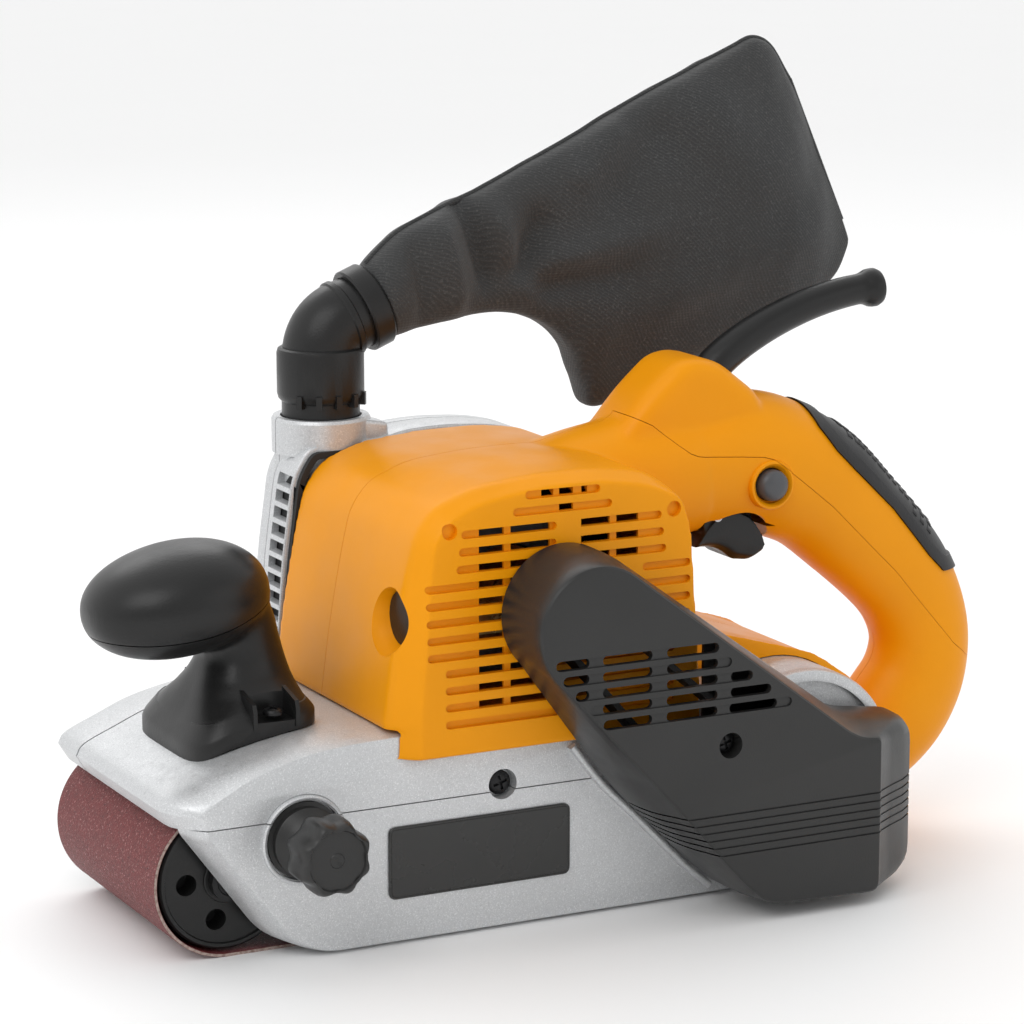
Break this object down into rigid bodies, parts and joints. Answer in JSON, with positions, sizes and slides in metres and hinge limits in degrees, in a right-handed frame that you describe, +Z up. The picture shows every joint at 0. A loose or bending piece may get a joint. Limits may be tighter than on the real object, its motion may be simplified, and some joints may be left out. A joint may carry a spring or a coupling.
{
  "type": "handheld belt sander",
  "caption": "Handheld belt sander with an enclosed side belt drive, D-shaped rear handle, knob front grip, tracking knob, dust spout with elbow and cloth bag.",
  "frame": {"origin": "centre of the flat underside of the abrasive belt, midway between the two rollers and between the belt's edges", "axes": "+Z up, -X towards the nose of the machine, -Y towards the drive-belt cover and tracking knob"},
  "size_m": [0.3832, 0.181, 0.3148],
  "materials": {
    "cast_silver": "silver metallic paint over a casting, fine sparkle",
    "housing_orange": "moulded, satin with a fine spark texture",
    "black_plastic": "moulded glass-filled plastic, satin",
    "soft_grip": "soft overmould with ribs",
    "grey_button": "moulded, satin",
    "label_black": "plain dark plate with no lettering",
    "blackened_screw": "black oxide",
    "machined_steel": "ground",
    "cast_alloy": "die cast",
    "copper_winding": "varnished copper wire",
    "laminated_steel": "stacked laminations",
    "brass": "stamped",
    "carbon": "pressed carbon",
    "black_rubber": "matt",
    "abrasive_cloth": "aluminium oxide grain on cloth",
    "cork": "graphite cork",
    "bag_fabric": "dark grey twill"
  },
  "bodies": {
    "machine": {"main_frame": "cast_silver", "side_frame": "cast_silver", "fan_case": "cast_silver", "fan_case_cover": "cast_silver", "housing_left": "housing_orange", "housing_right": "housing_orange", "drive_belt_cover": "black_plastic", "front_grip": "black_plastic", "front_grip_cap": "black_plastic", "cord_guard": "black_plastic", "switch_body": "black_plastic", "brush_cap_front": "black_plastic", "brush_cap_rear": "black_plastic", "handle_pad": "soft_grip", "name_plate": "label_black", "grip_screw_near": "blackened_screw", "grip_screw_far": "blackened_screw", "side_screw": "blackened_screw", "cover_screw": "blackened_screw", "trigger_pin": "machined_steel", "motor_bearing_near": "machined_steel", "motor_bearing_far": "machined_steel", "drive_bearing_near": "machined_steel", "drive_bearing_far": "machined_steel", "sole_plate": "machined_steel", "sole_pad": "cork", "stator": "laminated_steel", "brush_holder_front": "brass", "brush_holder_rear": "brass", "brush_front": "carbon", "brush_rear": "carbon", "toothed_belt": "black_rubber", "abrasive_belt": "abrasive_cloth", "lever_pin": "machined_steel", "tension_spring": "machined_steel"},
    "armature": {"armature_shaft": "machined_steel", "armature_core": "copper_winding", "commutator": "brass", "cooling_fan": "black_plastic", "drive_pulley": "machined_steel"},
    "drive_roller": {"drive_shaft": "machined_steel", "driven_pulley": "cast_alloy", "drive_roller_core": "cast_alloy", "drive_roller_sleeve": "black_rubber"},
    "tension_slide": {"tension_slide": "cast_alloy", "yoke_pin": "machined_steel"},
    "tracking_yoke": {"tracking_yoke": "cast_alloy", "roller_axle": "machined_steel"},
    "front_roller": {"front_roller": "black_plastic", "roller_bearing_near": "machined_steel", "roller_bearing_far": "machined_steel"},
    "release_lever": {"release_lever": "cast_alloy"},
    "tracking_knob": {"tracking_knob": "black_plastic", "tracking_screw": "machined_steel"},
    "trigger": {"trigger": "black_plastic"},
    "lock_button": {"lock_button": "grey_button"},
    "dust_outlet": {"dust_collar": "black_plastic", "dust_elbow": "black_plastic", "bag_clamp_ring": "black_plastic", "dust_bag": "bag_fabric"}
  },
  "joints": [
    {"name": "drive_roller_spin", "type": "hinge", "parent": "machine", "child": "drive_roller", "pos_m": [0.10695, 0, 0.029], "axis": [0, 1, 0], "continuous": true},
    {"name": "armature_spin", "type": "hinge", "parent": "machine", "child": "armature", "pos_m": [0.017, 0, 0.118], "axis": [0, 1, 0], "continuous": true},
    {"name": "tension_slide_travel", "type": "slide", "parent": "machine", "child": "tension_slide", "axis": [1, 0, 0], "range_m": [0, 0.007], "stiffness_N_per_m": 3000, "springref_m": -0.004, "deforming": ["tension_spring"]},
    {"name": "tracking_yoke_tilt", "type": "hinge", "parent": "tension_slide", "child": "tracking_yoke", "pos_m": [-0.068, 0, 0.029], "axis": [0, 0, 1], "range_deg": [-0.8, 0.8]},
    {"name": "front_roller_spin", "type": "hinge", "parent": "tracking_yoke", "child": "front_roller", "pos_m": [-0.10695, 0, 0.029], "axis": [0, 1, 0], "continuous": true},
    {"name": "release_lever_turn", "type": "hinge", "parent": "machine", "child": "release_lever", "pos_m": [-0.034, 0, 0.03], "axis": [0, -1, 0], "range_deg": [0, 60]},
    {"name": "tracking_knob_turn", "type": "hinge", "parent": "machine", "child": "tracking_knob", "pos_m": [-0.084, 0, 0.0455], "axis": [0, 1, 0], "range_deg": [-180, 180]},
    {"name": "trigger_pull", "type": "hinge", "parent": "machine", "child": "trigger", "pos_m": [0.1125, 0, 0.138], "axis": [0, -1, 0], "range_deg": [0, 8], "stiffness_Nm_per_rad": 2, "springref_deg": -8.59},
    {"name": "lock_button_press", "type": "slide", "parent": "machine", "child": "lock_button", "axis": [0, 1, 0], "range_m": [0, 0.003], "stiffness_N_per_m": 400, "springref_m": -0.001},
    {"name": "dust_outlet_swivel", "type": "hinge", "parent": "machine", "child": "dust_outlet", "pos_m": [-0.021, 0.056, 0.177], "axis": [0, 0, 1], "range_deg": [0, 120]}
  ],
  "couplings": [
    {"joint": "armature_spin", "follows": "drive_roller_spin", "ratio": 2},
    {"joint": "front_roller_spin", "follows": "drive_roller_spin", "ratio": 1},
    {"joint": "release_lever_turn", "follows": "tension_slide_travel", "rad_per_m": 149.4},
    {"joint": "tracking_knob_turn", "follows": "tracking_yoke_tilt", "ratio": 200}
  ]
}
